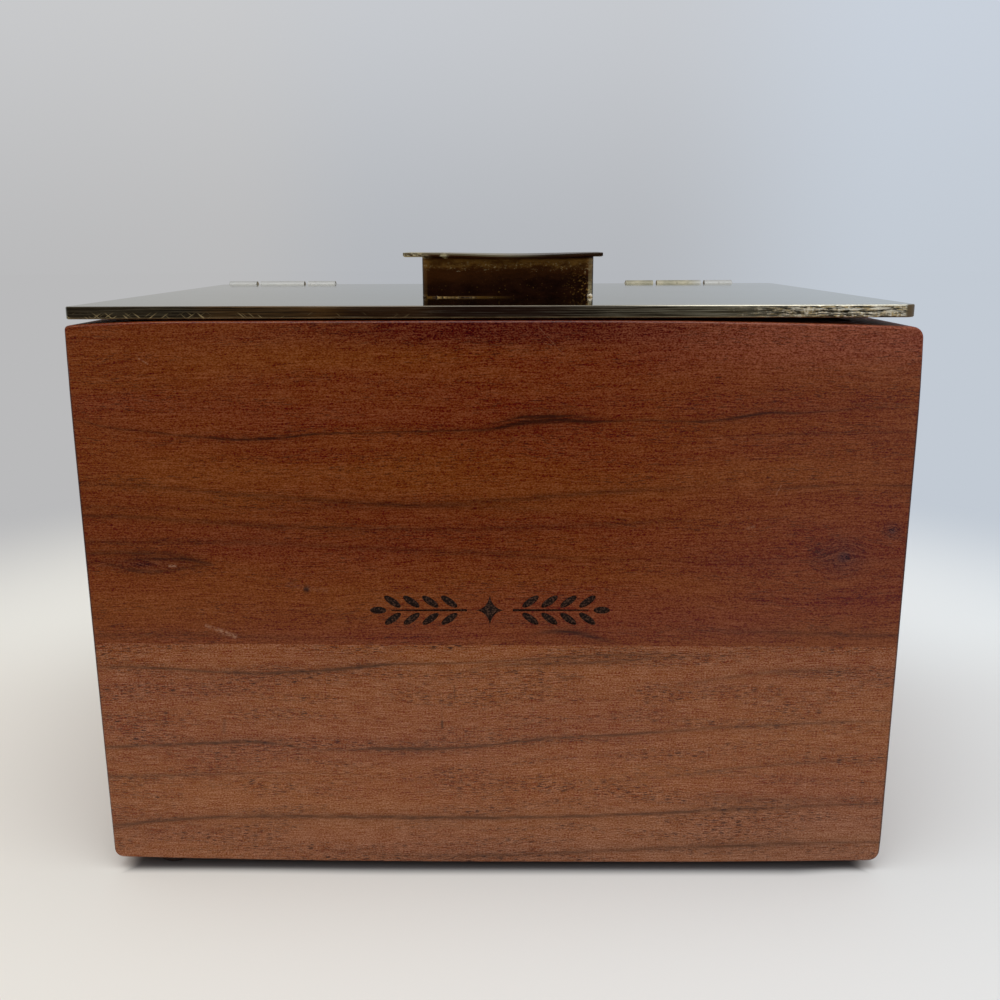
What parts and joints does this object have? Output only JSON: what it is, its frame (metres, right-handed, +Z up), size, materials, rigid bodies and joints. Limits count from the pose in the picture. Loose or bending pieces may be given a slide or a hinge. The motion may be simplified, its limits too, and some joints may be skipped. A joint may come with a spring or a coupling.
{
  "type": "recipe card box",
  "caption": "Mitred hardwood card box with rubber feet, and a heavy brass lid plate with a lifting knob on rolled butt hinges.",
  "frame": {"origin": "on the standing surface, at the middle of the whole box's footprint", "axes": "+X to the right across the front, +Y from the front to the hinged back, +Z up"},
  "size_m": [0.1846, 0.1382, 0.1452],
  "materials": {
    "dark_board": "satin lacquered hardwood, reddish brown",
    "light_board": "satin lacquered hardwood, lighter brown",
    "base_wood": "plain plywood panel",
    "foot_rubber": "matte",
    "lid_brass": "polished face, tarnished and scratched edges",
    "knob_brass": "tarnished, with bright rubbed edges",
    "hinge_brass": "aged satin brass"
  },
  "bodies": {
    "case": {"front_upper_board": "dark_board", "front_lower_board": "light_board", "back_upper_board": "dark_board", "back_lower_board": "light_board", "left_upper_board": "dark_board", "left_lower_board": "light_board", "right_upper_board": "dark_board", "right_lower_board": "light_board", "base_panel": "base_wood", "front_left_foot": "foot_rubber", "front_right_foot": "foot_rubber", "back_left_foot": "foot_rubber", "back_right_foot": "foot_rubber", "left_hinge_wall_leaf": "hinge_brass", "left_hinge_pin": "hinge_brass", "right_hinge_wall_leaf": "hinge_brass", "right_hinge_pin": "hinge_brass", "hinge_screws": "hinge_brass"},
    "lid": {"lid_plate": "lid_brass", "knob_collar": "knob_brass", "knob_cap": "knob_brass", "left_hinge_lid_leaf": "hinge_brass", "right_hinge_lid_leaf": "hinge_brass"}
  },
  "joints": [
    {"name": "lid_hinge", "type": "hinge", "parent": "case", "child": "lid", "pos_m": [-0.00065, 0.06675, 0.13295], "axis": [-1, 0, 0], "range_deg": [0, 259]}
  ]
}
